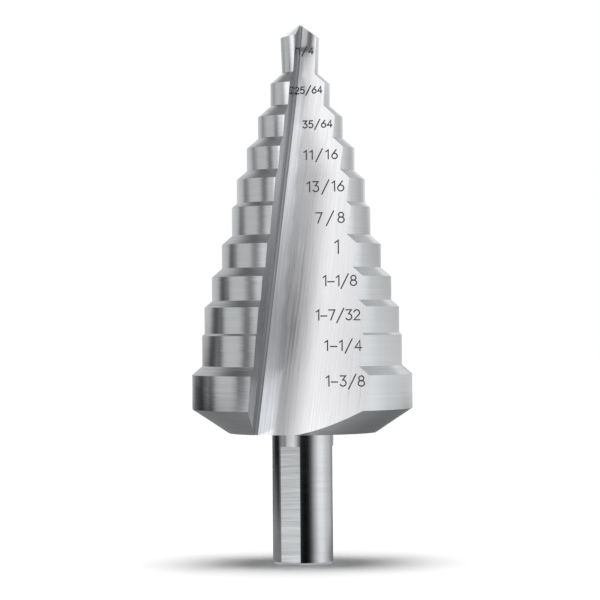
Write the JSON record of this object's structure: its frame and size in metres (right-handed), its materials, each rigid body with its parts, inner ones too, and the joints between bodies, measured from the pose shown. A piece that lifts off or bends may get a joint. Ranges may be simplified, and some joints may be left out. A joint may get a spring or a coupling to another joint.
{
  "type": "step drill",
  "caption": "Stepped conical drill bit with a pilot point, two straight V flutes and a three-flat shank, for opening clean round holes of rising size in sheet metal.",
  "frame": {"origin": "centre of the shank's flat end face, which the drill stands on", "axes": "+Z along the drill's axis from the shank to the point; -Y looks at the face of one flute, with its cutting edges on the -X side"},
  "size_m": [0.0342, 0.0312, 0.084],
  "materials": {
    "high_speed_steel": "bright ground high speed steel, with grinding lines along the flutes and round the lands"
  },
  "bodies": {
    "root": {"step_drill": "high_speed_steel"}
  },
  "joints": []
}
